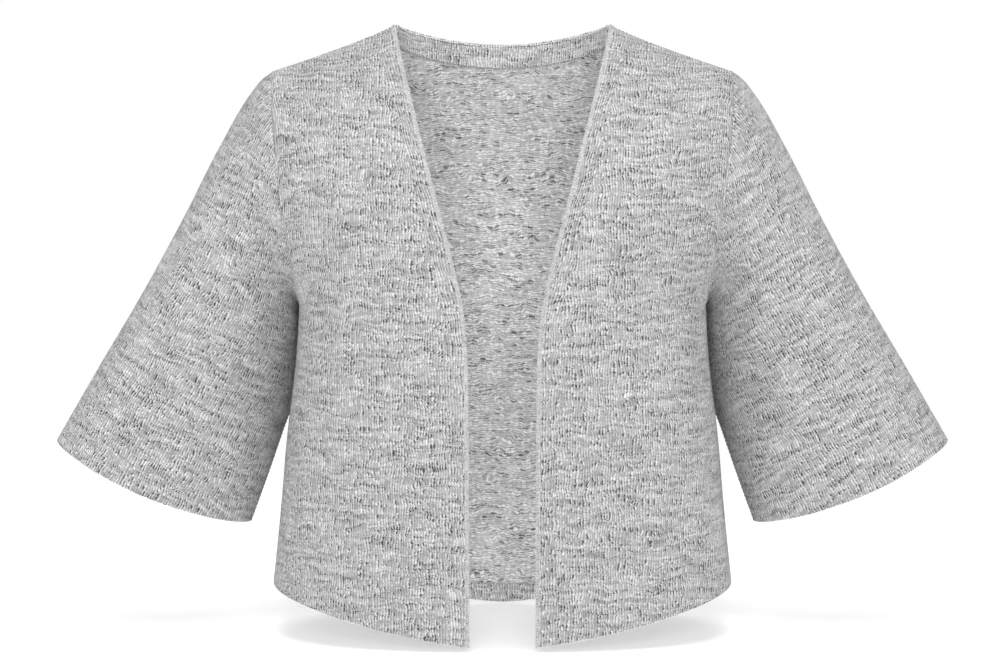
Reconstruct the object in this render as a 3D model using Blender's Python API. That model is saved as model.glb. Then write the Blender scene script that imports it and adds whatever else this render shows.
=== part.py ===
"""Knitted shrug: a cropped, open-front cardigan with flared elbow sleeves, hollow and filled out as worn.

Metres, +Z up.  The front faces -Y and +X is the wearer's left.  The shrug hangs from the wearer's shoulders,
so the origin is at the base of the neck, level with the neck ends of the two shoulder seams.
Every piece is a wall of cloth: a grid of points on the outside of the garment, the same grid moved in by
the cloth's thickness, and a rim between them.  A turned edge is the cloth folded in on itself, so it is two
thick.
"""
import math
from collections import namedtuple

import bmesh
import bpy
import numpy as np

# Driving sizes
CLOTH = 0.0018                  # one layer of fine sweater knit
SEAM_GAP = 0.0003               # between two pieces that are sewn together
TURNING = 0.017                 # depth of the turned hem, cuff and front edge
TURNING_STEP = 0.0015           # over which the second layer ends
NECK_HALF = 0.0920              # neck end of a shoulder seam, from the middle
SHOULDER_HALF = 0.1960          # arm end of a shoulder seam, from the middle
SHOULDER_DROP = 0.0398          # how far the shoulder seam falls from neck to arm
SHOULDER_HOLLOW = 0.87          # under 1, the seam dips a little near the neck
BACK_NECK_DROP = 0.0165
BACK_NECK_DEPTH = 0.0550        # the back of the neckline stands this far behind the shoulder seams
FRONT_GAP_HALF = 0.0276         # the open fronts hang this far from the middle
V_BOTTOM = -0.2400              # height at which the sloping front edge has become upright
V_ROUND = 0.0300                # length over which it turns
ARMHOLE_FRONT = 0.0640          # how far the armhole reaches forward of the side seam
ARMHOLE_BACK = 0.0720
PANEL_ROUND = 3.0               # how flat the chest and back are between the armholes
OPENING_FROM, OPENING_TO = -0.280, -0.165       # heights between which the body's ring opens towards the arms
EDGE_PULL = 8.0                 # the higher, the closer to its edge the armhole's own curve is kept
HEM_SWEEP = 1.45                # how the hem rises to the side seams: 1 is straight, 2 a parabola
CUFF_CURVE = 0.0075             # the cuff is cut longer at its front and back than at its two ends

# Levels of the body, from the hem up.  height_mid is at the centre front and back, height_side at the side
# seam.
Level = namedtuple("Level", "name height_mid height_side half_width front_depth back_depth squareness")
LEVELS = [
    Level("hem", -0.518, -0.478, 0.1978, 0.1160, 0.1000, 2.8),
    Level("flare", -0.430, -0.412, 0.1908, 0.1150, 0.0960, 2.8),
    Level("waist", -0.357, -0.350, 0.1850, 0.1150, 0.0940, 2.8),
    Level("ribs", -0.290, -0.288, 0.1772, 0.1170, 0.0970, 2.8),
    Level("underarm", -0.236, -0.237, 0.1738, 0.1190, 0.1010, 2.8),
    Level("chest", -0.180, -0.142, 0.1865, 0.1190, 0.1040, 2.8),
]
HEM, UNDERARM, CHEST = 0, 4, 5

# Rings of the sleeve, from the armhole to the cuff.  The outer and inner points are x outwards and z up, the
# depths reach forward and back from the line between them, and the inner point lies set_back behind the outer
# one, where the underarm of the sleeve tucks in behind the side of the body.
Ring = namedtuple("Ring", "name along outer_x outer_z inner_x inner_z front_depth back_depth set_back")
RINGS = [
    Ring("armhole", 0.00, 0.1960, -0.0398, 0.1738, -0.2370, 0.0640, 0.0720, 0.0000),
    Ring("seam turn", 0.03, 0.2042, -0.0458, 0.1757, -0.2368, 0.0640, 0.0710, 0.0060),
    Ring("cap", 0.08, 0.2161, -0.0605, 0.1762, -0.2425, 0.0625, 0.0680, 0.0200),
    Ring("upper arm", 0.20, 0.2392, -0.0992, 0.1750, -0.2700, 0.0590, 0.0610, 0.0380),
    Ring("biceps", 0.40, 0.2732, -0.1643, 0.1783, -0.3128, 0.0555, 0.0565, 0.0440),
    Ring("above elbow", 0.60, 0.3090, -0.2288, 0.1913, -0.3514, 0.0530, 0.0535, 0.0270),
    Ring("elbow", 0.80, 0.3472, -0.2924, 0.2040, -0.3892, 0.0510, 0.0510, 0.0100),
    Ring("cuff", 1.00, 0.3850, -0.3568, 0.2178, -0.4278, 0.0500, 0.0500, 0.0000),
]
SLEEVE_OUTER, SLEEVE_INNER = 0.366, 0.194       # lengths along the top and the underside of a sleeve

# Rows and columns of the grids
BODY_STEPS = 6                                  # rows from the turned hem to the underarm
LOWER_ARMHOLE = [0.08, 0.19, 0.33, 0.49, 0.66, 0.83, 1.0]   # share of the way from underarm to chest
UPPER_ARMHOLE = [0.15, 0.30, 0.44, 0.58, 0.71, 0.84, 1.0]   # and from chest to shoulder seam
NECK_COLUMNS = 5                                # half of the back neckline
SIDE_COLUMNS = 8                                # from a turned edge to the armhole or side seam
COLUMN_CROWDING = 1.7                           # over 1, the columns crowd towards the side
EDGE_TRIES = 12                                 # rounds that settle where the front edge crosses a row
SLEEVE_ALONG = [0.0, 0.03, 0.08, 0.14, 0.21, 0.30, 0.40, 0.50, 0.60, 0.70, 0.80, 0.88]

MIRROR = np.array([-1.0, 1.0, 1.0])             # from the wearer's left to the right
GREY = (0.52, 0.52, 0.52, 1.0)
KNIT_ROUGHNESS = 0.9


def smooth(knots, values, at):
    """The curve through the values at the knots, with the slopes of a Catmull-Rom spline."""
    knots = np.asarray(knots, float)
    values = np.asarray(values, float)
    slopes = np.gradient(values, knots)
    i = int(np.clip(np.searchsorted(knots, at) - 1, 0, len(knots) - 2))
    span = knots[i + 1] - knots[i]
    t = (at - knots[i]) / span
    start = (2 * t**3 - 3 * t**2 + 1) * values[i] + (t**3 - 2 * t**2 + t) * span * slopes[i]
    end = (3 * t**2 - 2 * t**3) * values[i + 1] + (t**3 - t**2) * span * slopes[i + 1]
    return start + end


def level_value(column, height):
    """A column of the body's table at a height: by the side seam for half_width, else by the middle."""
    knots = [level.height_side if column == "half_width" else level.height_mid for level in LEVELS]
    return smooth(knots, [getattr(level, column) for level in LEVELS], height)


def front_edge(height):
    """Distance of the front edge from the middle: a straight slope that turns upright at V_BOTTOM."""
    def hinge(z):
        above = z - V_BOTTOM
        return (above + math.hypot(above, V_ROUND)) / 2
    return FRONT_GAP_HALF + (NECK_HALF - FRONT_GAP_HALF) * hinge(height) / hinge(0.0)


def top_edge(across, side):
    """Depth and height of the shoulder seam, or of the back neckline, at a distance from the middle."""
    if across < NECK_HALF:
        inside = 1 - (across / NECK_HALF) ** 2
        if side == "back":
            return BACK_NECK_DEPTH * math.sqrt(inside), -BACK_NECK_DROP * inside
        return 0.0, 0.0
    share = (across - NECK_HALF) / (SHOULDER_HALF - NECK_HALF)
    return 0.0, -SHOULDER_DROP * min(share, 1.0) ** SHOULDER_HOLLOW


def body_point(side, q, climb):
    """A point on the outside of the body at q, 0 in the middle and 1 at the side, on the wearer's left half.

    climb runs from 0 at the hem to 1 at the underarm, 2 at the chest and 3 at the shoulder seam.
    """
    hem, low, high = LEVELS[HEM], LEVELS[UNDERARM], LEVELS[CHEST]
    body, armhole, yoke = (min(max(climb - start, 0.0), 1.0) for start in range(3))
    turn = math.radians(90 * armhole)
    if climb <= 1:
        mid = hem.height_mid + (low.height_mid - hem.height_mid) * body
        edge = hem.height_side + (low.height_side - hem.height_side) * body
        half_width = level_value("half_width", edge)
    else:
        mid = low.height_mid + (high.height_mid - low.height_mid) * armhole
        edge = low.height_side + (high.height_side - low.height_side) * (1 - math.cos(turn))
        half_width = low.half_width + (high.half_width - low.half_width) * (1 - math.cos(turn))
    square = level_value("squareness", mid)
    depth = level_value(side + "_depth", mid)
    z = edge + (mid - edge) * (1 - q**HEM_SWEEP)
    # The body's closed ring opens into a panel between the armholes, whose own edge keeps to its oval
    opened = min(max((z - OPENING_FROM) / (OPENING_TO - OPENING_FROM), 0.0), 1.0)
    opened = opened**2 * (3 - 2 * opened)
    opened += (math.sin(turn) - opened) * q**EDGE_PULL
    reach = opened * (ARMHOLE_FRONT if side == "front" else ARMHOLE_BACK)
    bow = (1 - q**square) ** (1 / square)
    bow += (1 - q**PANEL_ROUND - bow) * opened
    y = reach + (depth - reach) * bow
    if yoke > 0:
        turn = math.radians(90 * yoke)
        half_width += (SHOULDER_HALF - half_width) * math.sin(turn)
        top_y, top_z = top_edge(q * half_width, side)
        # The neckline stands up and the shoulder point lies over
        y = top_y + (y - top_y) * (q * math.cos(turn) + (1 - q) * (1 - yoke**2))
        z = z + (top_z - z) * (q * math.sin(turn) + (1 - q) * yoke)
    return np.array([q * half_width, -y if side == "front" else y, z])


def climbs():
    """The rows of a body panel: the turned hem, the body, the lower armhole and the upper armhole."""
    body = LEVELS[UNDERARM].height_mid - LEVELS[HEM].height_mid
    turned = [0.0, TURNING / body, (TURNING + TURNING_STEP) / body]
    rows = turned + [turned[-1] + (1 - turned[-1]) * (k + 1) / BODY_STEPS for k in range(BODY_STEPS)]
    return rows + [1 + share for share in LOWER_ARMHOLE] + [2 + share for share in UPPER_ARMHOLE]


def columns(start, half_width):
    """Shares of the half width from start to the side: a turning's width, then closer towards the side."""
    turned = [start, start + TURNING / half_width, start + (TURNING + TURNING_STEP) / half_width]
    steps = np.arange(1, SIDE_COLUMNS + 1) / SIDE_COLUMNS
    return turned + list(1 - (1 - turned[-1]) * (1 - steps) ** COLUMN_CROWDING)


def back_grid():
    """The back from its right side seam to its left one, with the neckline at its top."""
    neck = NECK_HALF / SHOULDER_HALF
    bends = np.radians(90 * np.arange(NECK_COLUMNS) / NECK_COLUMNS)
    shares = list(neck * np.sin(bends)) + columns(neck, SHOULDER_HALF)
    left = np.array([[body_point("back", q, climb) for q in shares] for climb in climbs()])
    right = left[:, :0:-1] * MIRROR
    return np.concatenate([right, left], axis=1)


def front_grid():
    """The left front from its open edge to its side seam."""
    rows = []
    for climb in climbs():
        start = NECK_HALF / SHOULDER_HALF
        for _ in range(EDGE_TRIES):
            point = body_point("front", start, climb)
            half_width = point[0] / start
            start = front_edge(point[2]) / half_width
        rows.append([body_point("front", q, climb) for q in columns(start, half_width)])
    return np.array(rows)


def sleeve_grid():
    """The left sleeve, ring by ring from the armhole, each ring from the shoulder round the front."""
    climb_rows = [climb for climb in climbs() if climb >= 1 - 1e-9]
    front = [body_point("front", 1.0, climb) for climb in climb_rows]
    back = [body_point("back", 1.0, climb) for climb in climb_rows]
    angles = [math.radians(90 * (3 - climb)) for climb in climb_rows]
    armhole = front[::-1] + back[1:-1]
    around = [(angle, -1) for angle in angles[::-1]] + [(angle, 1) for angle in angles[1:-1]]
    knots = [ring.along for ring in RINGS]

    def point(along, angle, way):
        ring = {column: smooth(knots, [getattr(row, column) for row in RINGS], along)
                for column in Ring._fields[2:]}
        outer = np.array([ring["outer_x"], 0.0, ring["outer_z"]])
        inner = np.array([ring["inner_x"], 0.0, ring["inner_z"]])
        tucked = ring["set_back"] * ((1 - math.cos(angle)) / 2) ** 2
        depth = ring["front_depth"] if way < 0 else ring["back_depth"]
        swell = math.sin(angle)
        place = (outer + inner) / 2 + (outer - inner) / 2 * math.cos(angle)
        place[1] += way * depth * swell + tucked
        down = np.array([outer[2] - inner[2], 0.0, inner[0] - outer[0]])
        return place + CUFF_CURVE * along**3 * swell**2 * down / np.linalg.norm(down)

    grid = [armhole]
    grid += [[point(along, angle, way) for angle, way in around] for along in SLEEVE_ALONG[1:]]
    for turned in (TURNING + TURNING_STEP, TURNING, 0.0):
        ring = []
        for angle, way in around:
            length = SLEEVE_INNER + (SLEEVE_OUTER - SLEEVE_INNER) * (1 + math.cos(angle)) / 2
            ring.append(point(1 - turned / length, angle, way))
        grid.append(ring)
    return np.array(grid)


def face_normals(grid, closed):
    """Twice-area normals of the grid's faces, and the corners of each."""
    rows, count = grid.shape[:2]
    for i in range(rows - 1):
        for j in range(count if closed else count - 1):
            k = (j + 1) % count
            corners = [(i, j), (i, k), (i + 1, k), (i + 1, j)]
            a, b, c, d = (grid[corner] for corner in corners)
            yield corners, np.cross(c - a, d - b)


def place_key(point):
    """Points that are sewn together share this key."""
    return tuple(np.round(point, 6) + 0.0)


def seam_normals(pieces):
    """Outward normals at every place, taken over all the pieces that meet there."""
    normals = {}
    for grid, closed, outwards in pieces:
        for corners, normal in face_normals(grid, closed):
            for corner in corners:
                key = place_key(grid[corner])
                normals[key] = normals.get(key, 0.0) + normal * outwards
    return {key: normal / np.linalg.norm(normal) for key, normal in normals.items()}


def drawn_back(grid, normals, closed):
    """The grid with its outline moved in by half a seam's gap, in the plane of the cloth."""
    rows, count = grid.shape[:2]
    moved = grid.copy()
    for i in range(rows):
        for j in range(count):
            pulls = []
            if i in (0, rows - 1):
                along = grid[i, (j + 1) % count if closed else min(j + 1, count - 1)]
                along = along - grid[i, j - 1 if closed else max(j - 1, 0)]
                pulls.append((along, grid[1 if i == 0 else rows - 2, j] - grid[i, j]))
            if not closed and j in (0, count - 1):
                along = grid[min(i + 1, rows - 1), j] - grid[max(i - 1, 0), j]
                pulls.append((along, grid[i, 1 if j == 0 else count - 2] - grid[i, j]))
            ways = []
            for along, inside in pulls:
                way = np.cross(normals[i, j], along)
                way /= np.linalg.norm(way)
                ways.append(way if way @ inside > 0 else -way)
            if ways:
                step = sum(ways)
                moved[i, j] += SEAM_GAP / 2 * step / max(step @ ways[0], 0.3)
    return moved


def wall(name, outer, inner, closed, collection):
    """One closed body between an outer and an inner grid, as an object with its own material."""
    rows, count = outer.shape[:2]
    mesh = bpy.data.meshes.new(name)
    shape = bmesh.new()
    layers = [[[shape.verts.new(point) for point in row] for row in grid] for grid in (outer, inner)]
    spans = [(j, (j + 1) % count) for j in range(count if closed else count - 1)]
    for layer in layers:
        for i in range(rows - 1):
            for j, k in spans:
                shape.faces.new((layer[i][j], layer[i][k], layer[i + 1][k], layer[i + 1][j]))
    edges = [((i, j), (i, k)) for i in (0, rows - 1) for j, k in spans]
    if not closed:
        edges += [((i, j), (i + 1, j)) for j in (0, count - 1) for i in range(rows - 1)]
    for ends in edges:
        # Both pieces at a seam split its rim alike, from the higher outer corner to the lower inner one
        (i, j), (k, m) = sorted(ends, key=lambda end: -outer[end][2])
        high, high_in, low, low_in = layers[0][i][j], layers[1][i][j], layers[0][k][m], layers[1][k][m]
        shape.faces.new((high, low, low_in))
        shape.faces.new((high, low_in, high_in))
    bmesh.ops.recalc_face_normals(shape, faces=shape.faces)
    shape.to_mesh(mesh)
    shape.free()
    mesh.shade_smooth()
    mesh.set_sharp_from_angle(angle=math.radians(40))
    cloth = bpy.data.materials.new(name + "_knit")
    cloth.use_nodes = True
    shader = cloth.node_tree.nodes["Principled BSDF"]
    shader.inputs["Base Color"].default_value = GREY
    shader.inputs["Roughness"].default_value = KNIT_ROUGHNESS
    shader.inputs["Metallic"].default_value = 0.0
    mesh.materials.append(cloth)
    collection.objects.link(bpy.data.objects.new(name, mesh))


def main():
    for item in list(bpy.data.objects):
        bpy.data.objects.remove(item)
    collection = bpy.data.collections.new("knitted_shrug")
    bpy.context.scene.collection.children.link(collection)

    back, front, sleeve = back_grid(), front_grid(), sleeve_grid()
    # Each piece's grid, whether its rows close into rings, and which way its rows and columns turn
    pieces = {
        "back": (back, False, -1),
        "front_left": (front, False, 1),
        "front_right": (front * MIRROR, False, -1),
        "sleeve_left": (sleeve, True, 1),
        "sleeve_right": (sleeve * MIRROR, True, -1),
    }
    shared = seam_normals(pieces.values())
    for name, (grid, closed, _) in pieces.items():
        normals = np.array([[shared[place_key(point)] for point in row] for row in grid])
        layers = np.ones(grid.shape[:2])
        if closed:
            layers[-2:] = 2
        else:
            layers[:2] = 2
            if name != "back":
                layers[:, :2] = 2
        outer = drawn_back(grid, normals, closed)
        wall(name, outer, outer - CLOTH * layers[..., None] * normals, closed, collection)
        if name == "back":
            half = NECK_COLUMNS + 1
            middle = grid.shape[1] // 2
            strip = (slice(-2, None), slice(middle - half, middle + half + 1))
            skin = drawn_back(grid[strip], normals[strip], False) - (CLOTH + SEAM_GAP) * normals[strip]
            wall("back_neck_facing", skin, skin - CLOTH * normals[strip], False, collection)


main()
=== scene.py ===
"""Knitted shrug: a cropped, open-front cardigan in light grey marl, filled out as worn.

Metres, +Z up.  The front faces -Y, +X is the wearer's left, and the origin is at the base of the neck.
"""

import math
from collections import namedtuple

import bmesh
import bpy
import numpy as np
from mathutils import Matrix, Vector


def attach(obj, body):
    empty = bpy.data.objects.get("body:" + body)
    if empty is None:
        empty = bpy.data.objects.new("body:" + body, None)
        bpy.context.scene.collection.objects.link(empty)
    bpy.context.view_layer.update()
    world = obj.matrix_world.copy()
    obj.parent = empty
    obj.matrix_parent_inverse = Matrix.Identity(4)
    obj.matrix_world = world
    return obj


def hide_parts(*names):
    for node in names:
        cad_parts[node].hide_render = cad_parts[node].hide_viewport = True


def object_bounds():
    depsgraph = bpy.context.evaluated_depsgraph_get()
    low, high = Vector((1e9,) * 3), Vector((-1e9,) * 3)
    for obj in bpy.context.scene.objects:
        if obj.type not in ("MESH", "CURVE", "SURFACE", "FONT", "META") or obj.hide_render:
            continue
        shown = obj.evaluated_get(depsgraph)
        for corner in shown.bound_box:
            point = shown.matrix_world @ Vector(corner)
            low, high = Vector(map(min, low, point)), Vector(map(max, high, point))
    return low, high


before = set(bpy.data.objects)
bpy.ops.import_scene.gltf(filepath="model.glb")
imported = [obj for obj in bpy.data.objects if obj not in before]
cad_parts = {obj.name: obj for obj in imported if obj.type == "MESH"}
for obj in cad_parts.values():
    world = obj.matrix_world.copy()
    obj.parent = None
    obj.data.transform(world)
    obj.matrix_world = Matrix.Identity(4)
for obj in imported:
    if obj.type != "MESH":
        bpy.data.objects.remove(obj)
cad_low, cad_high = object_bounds()


# ---------------------------------------------------------------- the studio
# The shrug is filled out over a plain white floor, with its front hem just above it.  Light comes softly
# from all round, with broad lamps in front, overhead and behind, and a weaker one each side.

CAMERA_BACK, CAMERA_HEIGHT, CAMERA_TILT = 2.4, -0.030, 5.635
FLOOR_CLEARANCE = 0.0015
FLOOR_GLOW, FLOOR_FADE = 0.28, (0.45, 0.95)
SURROUND = 0.38                 # the light that the room gives the cloth
ROOM_WHITE = (0.998, 0.998, 0.998, 1.0)     # how the room and the far floor look to the camera
FLOOR_HALF = 12.0

camera = bpy.data.objects.new("camera", bpy.data.cameras.new("camera"))
camera.data.lens = 100.0
camera.data.sensor_width = 36.0
camera.location = (0.0013, -CAMERA_BACK, CAMERA_HEIGHT)
camera.rotation_euler = (math.radians(90 - CAMERA_TILT), 0.0, 0.0)
bpy.context.scene.collection.objects.link(camera)
bpy.context.scene.camera = camera
bpy.context.scene.view_settings.view_transform = "Standard"

world = bpy.data.worlds.new("studio")
world.use_nodes = True
room = world.node_tree
seen = room.nodes.new("ShaderNodeBackground")
seen.inputs["Strength"].default_value = 1.0
seen.inputs["Color"].default_value = ROOM_WHITE
glow = room.nodes["Background"]
glow.inputs["Color"].default_value = (1.0, 1.0, 1.0, 1.0)
glow.inputs["Strength"].default_value = SURROUND
ray = room.nodes.new("ShaderNodeLightPath")
either = room.nodes.new("ShaderNodeMixShader")
room.links.new(ray.outputs["Is Camera Ray"], either.inputs[0])
room.links.new(glow.outputs[0], either.inputs[1])
room.links.new(seen.outputs[0], either.inputs[2])
room.links.new(either.outputs[0], room.nodes["World Output"].inputs["Surface"])
bpy.context.scene.world = world

# name, place, the point it faces, size, watts
for name, place, facing, size, watts in (
    ("key", (0.0, -2.6, 0.40), (0.0, 0.0, -0.20), 1.3, 44.0),
    ("above", (0.0, -0.7, 2.1), (0.0, 0.0, -0.25), 1.6, 38.0),
    ("side_left", (2.3, -0.9, 0.5), (0.2, 0.0, -0.25), 1.6, 14.0),
    ("side_right", (-2.3, -0.9, 0.5), (-0.2, 0.0, -0.25), 1.6, 14.0),
    ("behind", (0.0, 2.4, 1.0), (0.0, 0.0, -0.25), 1.6, 42.0),
):
    lamp = bpy.data.lights.new(name, "AREA")
    lamp.size = size
    lamp.energy = watts
    holder = bpy.data.objects.new(name, lamp)
    away = np.array(place) - np.array(facing)
    holder.location = place
    holder.rotation_euler = (math.acos(away[2] / np.linalg.norm(away)), 0.0,
                             math.atan2(away[1], away[0]) + math.pi / 2)
    bpy.context.scene.collection.objects.link(holder)

floor_mesh = bpy.data.meshes.new("floor")
shape = bmesh.new()
bmesh.ops.create_grid(shape, x_segments=1, y_segments=1, size=FLOOR_HALF)
shape.to_mesh(floor_mesh)
shape.free()
floor = bpy.data.objects.new("floor", floor_mesh)
floor.location.z = cad_low.z - FLOOR_CLEARANCE
bpy.context.scene.collection.objects.link(floor)
white = bpy.data.materials.new("white_floor")
white.use_nodes = True
paper = white.node_tree.nodes["Principled BSDF"]
paper.inputs["Base Color"].default_value = (0.80, 0.80, 0.80, 1.0)
paper.inputs["Roughness"].default_value = 1.0
paper.inputs["Specular IOR Level"].default_value = 0.0
paper.inputs["Emission Color"].default_value = (1.0, 1.0, 1.0, 1.0)
paper.inputs["Emission Strength"].default_value = FLOOR_GLOW
# Away from the shrug the floor turns as white as the room, and neither of them lights the cloth with that
plain = white.node_tree
far = plain.nodes.new("ShaderNodeEmission")
far.inputs["Color"].default_value = ROOM_WHITE
where = plain.nodes.new("ShaderNodeTexCoord")
from_middle = plain.nodes.new("ShaderNodeVectorMath")
from_middle.operation = "LENGTH"
plain.links.new(where.outputs["Object"], from_middle.inputs[0])
fade = plain.nodes.new("ShaderNodeMapRange")
fade.inputs["From Min"].default_value, fade.inputs["From Max"].default_value = FLOOR_FADE
plain.links.new(from_middle.outputs["Value"], fade.inputs["Value"])
view = plain.nodes.new("ShaderNodeLightPath")
only_seen = plain.nodes.new("ShaderNodeMath")
only_seen.operation = "MULTIPLY"
plain.links.new(fade.outputs[0], only_seen.inputs[0])
plain.links.new(view.outputs["Is Camera Ray"], only_seen.inputs[1])
blend = plain.nodes.new("ShaderNodeMixShader")
plain.links.new(only_seen.outputs[0], blend.inputs[0])
plain.links.new(paper.outputs[0], blend.inputs[1])
plain.links.new(far.outputs[0], blend.inputs[2])
plain.links.new(blend.outputs[0], plain.nodes["Material Output"].inputs["Surface"])
floor_mesh.materials.append(white)


# ---------------------------------------------------------------- the back
# The back is cut in one, of fine plain knit in a marl yarn, with its smooth side out and its purl side in.
# Its hem is turned 17 mm to the inside, and the neckline dips a little between the shoulder seams.

CLOTH = 0.0018                  # one layer of knit
SEAM_GAP = 0.0003
SEAM_SINK = 0.0007              # the cloth dips this much to a seam
SEAM_LIP = 0.0012               # over this width
TURNING = 0.017                 # depth of a turned edge
TURNING_STEP = 0.0015
# Distances from a folded edge at which rows or columns of points lie
TURNED_STEPS = [0.0, SEAM_LIP, 0.0045, TURNING / 2, TURNING - 0.0010, TURNING, TURNING + TURNING_STEP]
NECK_HALF, SHOULDER_HALF = 0.0920, 0.1960
SHOULDER_DROP, SHOULDER_HOLLOW = 0.0398, 0.87
BACK_NECK_DROP, BACK_NECK_DEPTH = 0.0165, 0.0550
ARMHOLE_FRONT, ARMHOLE_BACK = 0.0640, 0.0720
PANEL_ROUND = 3.0
OPENING_FROM, OPENING_TO = -0.280, -0.165
EDGE_PULL = 8.0
HEM_SWEEP = 1.45

Level = namedtuple("Level", "name height_mid height_side half_width front_depth back_depth squareness")
LEVELS = [
    Level("hem", -0.518, -0.478, 0.1978, 0.1160, 0.1000, 2.8),
    Level("flare", -0.430, -0.412, 0.1908, 0.1150, 0.0960, 2.8),
    Level("waist", -0.357, -0.350, 0.1850, 0.1150, 0.0940, 2.8),
    Level("ribs", -0.290, -0.288, 0.1772, 0.1170, 0.0970, 2.8),
    Level("underarm", -0.236, -0.237, 0.1738, 0.1190, 0.1010, 2.8),
    Level("chest", -0.180, -0.142, 0.1865, 0.1190, 0.1040, 2.8),
]
HEM, UNDERARM, CHEST = 0, 4, 5

NECK_COLUMNS = 36               # half of the neckline
SIDE_COLUMNS = 44               # from a turned edge to the side
COLUMN_CROWDING = 2.0
BODY_ROWS, LOWER_ROWS, UPPER_ROWS = 104, 30, 60


def smooth(knots, values, at):
    """The curve through the values at the knots, with the slopes of a Catmull-Rom spline."""
    knots, values, at = (np.asarray(numbers, float) for numbers in (knots, values, at))
    slopes = np.gradient(values, knots)
    i = np.clip(np.searchsorted(knots, at) - 1, 0, len(knots) - 2)
    span = knots[i + 1] - knots[i]
    t = (at - knots[i]) / span
    start = (2 * t**3 - 3 * t**2 + 1) * values[i] + (t**3 - 2 * t**2 + t) * span * slopes[i]
    end = (3 * t**2 - 2 * t**3) * values[i + 1] + (t**3 - t**2) * span * slopes[i + 1]
    return start + end


def level_value(column, height):
    knots = [level.height_side if column == "half_width" else level.height_mid for level in LEVELS]
    return smooth(knots, [getattr(level, column) for level in LEVELS], height)


def ease(t):
    t = np.clip(t, 0.0, 1.0)
    return t * t * (3 - 2 * t)


def top_edge(across, side):
    """Depth and height of the shoulder seam, or of the back neckline, at a distance from the middle."""
    inside = np.clip(1 - (across / NECK_HALF) ** 2, 0.0, 1.0)
    share = np.clip((across - NECK_HALF) / (SHOULDER_HALF - NECK_HALF), 0.0, 1.0)
    drop = -SHOULDER_DROP * share**SHOULDER_HOLLOW
    if side == "back":
        return BACK_NECK_DEPTH * np.sqrt(inside), drop - BACK_NECK_DROP * inside
    return 0.0 * inside, drop


def body_points(side, q, climb):
    """Points on the outside of the body at q, 0 in the middle and 1 at the side, on the wearer's left half.

    climb runs from 0 at the hem to 1 at the underarm, 2 at the chest and 3 at the shoulder seam.
    """
    q, climb = np.broadcast_arrays(np.asarray(q, float), np.asarray(climb, float))
    hem, low, high = LEVELS[HEM], LEVELS[UNDERARM], LEVELS[CHEST]
    body, armhole, yoke = (np.clip(climb - start, 0.0, 1.0) for start in range(3))
    turn = np.radians(90 * armhole)
    rise = 1 - np.cos(turn)
    mid = hem.height_mid + (low.height_mid - hem.height_mid) * body
    mid = mid + (high.height_mid - low.height_mid) * armhole
    edge = hem.height_side + (low.height_side - hem.height_side) * body
    half_width = level_value("half_width", np.minimum(edge, low.height_side))
    half_width = half_width + (high.half_width - low.half_width) * rise
    edge = edge + (high.height_side - low.height_side) * rise
    square = level_value("squareness", mid)
    depth = level_value(side + "_depth", mid)
    z = edge + (mid - edge) * (1 - q**HEM_SWEEP)
    opened = ease((z - OPENING_FROM) / (OPENING_TO - OPENING_FROM))
    opened = opened + (np.sin(turn) - opened) * q**EDGE_PULL
    reach = opened * (ARMHOLE_FRONT if side == "front" else ARMHOLE_BACK)
    bow = np.clip(1 - q**square, 0.0, 1.0) ** (1 / square)
    bow = bow + (1 - q**PANEL_ROUND - bow) * opened
    y = reach + (depth - reach) * bow
    turn = np.radians(90 * yoke)
    half_width = half_width + (SHOULDER_HALF - half_width) * np.sin(turn)
    top_y, top_z = top_edge(q * half_width, side)
    over = np.where(yoke > 0, q * np.cos(turn) + (1 - q) * (1 - yoke**2), 1.0)
    y = top_y + (y - top_y) * over
    y = np.where(yoke > 0, y, reach + (depth - reach) * bow)
    z = z + (top_z - z) * (q * np.sin(turn) + (1 - q) * yoke)
    return np.stack([q * half_width, -y if side == "front" else y, z], axis=-1)


BODY_HEIGHT = LEVELS[UNDERARM].height_mid - LEVELS[HEM].height_mid
turned_rows = [0.0, SEAM_LIP, TURNING / 2, TURNING - 0.0010, TURNING, TURNING + TURNING_STEP]
row_starts = [depth / BODY_HEIGHT for depth in turned_rows]
CLIMBS = np.array(
    row_starts
    + list(row_starts[-1] + (1 - row_starts[-1]) * np.arange(1, BODY_ROWS + 1) / BODY_ROWS)
    + list(1 + np.arange(1, LOWER_ROWS + 1) / LOWER_ROWS)
    + list(2 + np.arange(1, UPPER_ROWS) / UPPER_ROWS)
    + [2.993, 3.0]
)


def columns(start, half_width):
    """Shares of the half width from a turned edge to the side, crowding towards the side."""
    start = np.asarray(start, float)[..., None]
    half_width = np.asarray(half_width, float)[..., None]
    near = start + np.array(TURNED_STEPS) / half_width
    steps = np.arange(1, SIDE_COLUMNS + 1) / SIDE_COLUMNS
    return np.concatenate([near, 1 - (1 - near[..., -1:]) * (1 - steps) ** COLUMN_CROWDING], axis=-1)


MIRROR = np.array([-1.0, 1.0, 1.0])
neck_share = NECK_HALF / SHOULDER_HALF
bends = np.radians(90 * np.arange(NECK_COLUMNS) / NECK_COLUMNS)
back_shares = np.concatenate([neck_share * np.sin(bends), columns(neck_share, SHOULDER_HALF)])
half_back = body_points("back", back_shares[None, :], CLIMBS[:, None])
back_grid = np.concatenate([half_back[:, :0:-1] * MIRROR, half_back], axis=1)


# ---------------------------------------------------------------- the fronts
# Each front hangs from the neck end of the shoulder seam, open down the middle.  Its sloping edge and its hem
# are turned 17 mm to the inside, and its knit runs along the edge within the turning.

FRONT_GAP_HALF = 0.0276
V_BOTTOM, V_ROUND = -0.2400, 0.0300
EDGE_ROUNDS = 16                # the edge and the width depend on each other, and settle in this many rounds


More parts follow.
